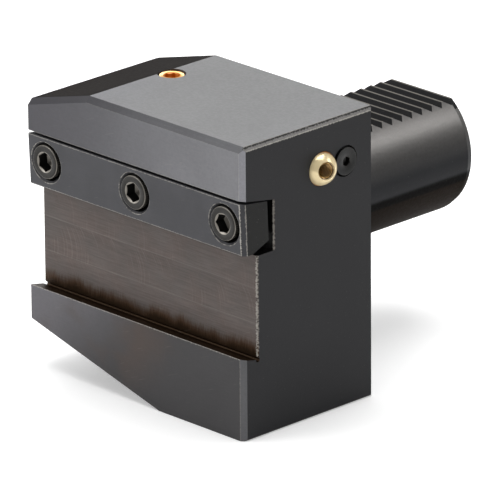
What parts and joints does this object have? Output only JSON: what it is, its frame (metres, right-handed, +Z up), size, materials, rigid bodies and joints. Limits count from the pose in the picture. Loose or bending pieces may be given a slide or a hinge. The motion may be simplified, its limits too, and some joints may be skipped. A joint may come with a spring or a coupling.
{
  "type": "parting blade tool holder",
  "caption": "Block holder for parting blades on a toothed round shank, with wedge clamp bar, cap screws and a swivelling coolant ball.",
  "frame": {"origin": "where the shank axis meets the contact face", "axes": "+Y along the shank, away from the block; +X towards the blade's cutting end; +Z up, towards the toothed side of the shank"},
  "size_m": [0.0885, 0.1136, 0.085],
  "materials": {
    "black_steel": "ground and black oxide",
    "bar_steel": "ground and black oxide, worn bright at the edges",
    "screw_steel": "burnished",
    "black_screw": "black oxide",
    "brass": "turned",
    "seal_rubber": "matte"
  },
  "bodies": {
    "holder": {"holder_body": "black_steel", "ball_seat_seal": "seal_rubber", "shank_seal_ring": "seal_rubber"},
    "clamp": {"clamp_bar": "bar_steel"},
    "screw_left": {"clamp_screw_left": "screw_steel"},
    "screw_middle": {"clamp_screw_middle": "screw_steel"},
    "screw_right": {"clamp_screw_right": "screw_steel"},
    "nozzle": {"coolant_ball": "brass"},
    "lock_screw": {"ball_lock_screw": "black_screw"},
    "plug": {"top_coolant_plug": "brass"}
  },
  "joints": [
    {"name": "clamp_slide", "type": "slide", "parent": "holder", "child": "clamp", "axis": [0, 1, 0], "range_m": [-0.006, 0.002]},
    {"name": "screw_left_turn", "type": "hinge", "parent": "clamp", "child": "screw_left", "pos_m": [-0.0354, -0.0506, 0.0135], "axis": [0, 1, 0], "range_deg": [-2160, 720]},
    {"name": "screw_middle_turn", "type": "hinge", "parent": "clamp", "child": "screw_middle", "pos_m": [0, -0.0506, 0.0135], "axis": [0, 1, 0], "range_deg": [-2160, 720]},
    {"name": "screw_right_turn", "type": "hinge", "parent": "clamp", "child": "screw_right", "pos_m": [0.0354, -0.0506, 0.0135], "axis": [0, 1, 0], "range_deg": [-2160, 720]},
    {"name": "nozzle_swivel", "type": "hinge", "parent": "holder", "child": "nozzle", "pos_m": [0.0412, -0.0195, 0.0232], "axis": [0, 0, 1], "range_deg": [-20, 10]},
    {"name": "lock_screw_turn", "type": "hinge", "parent": "holder", "child": "lock_screw", "pos_m": [0.0425, -0.01055, 0.0232], "axis": [1, 0, 0], "range_deg": [0, 540]},
    {"name": "plug_turn", "type": "hinge", "parent": "holder", "child": "plug", "pos_m": [-0.0165, -0.0195, 0.0365], "axis": [0, 0, 1], "range_deg": [0, 2160]}
  ],
  "couplings": [
    {"joint": "screw_left_turn", "follows": "clamp_slide", "rad_per_m": 6283.2},
    {"joint": "screw_middle_turn", "follows": "clamp_slide", "rad_per_m": 6283.2},
    {"joint": "screw_right_turn", "follows": "clamp_slide", "rad_per_m": 6283.2}
  ]
}
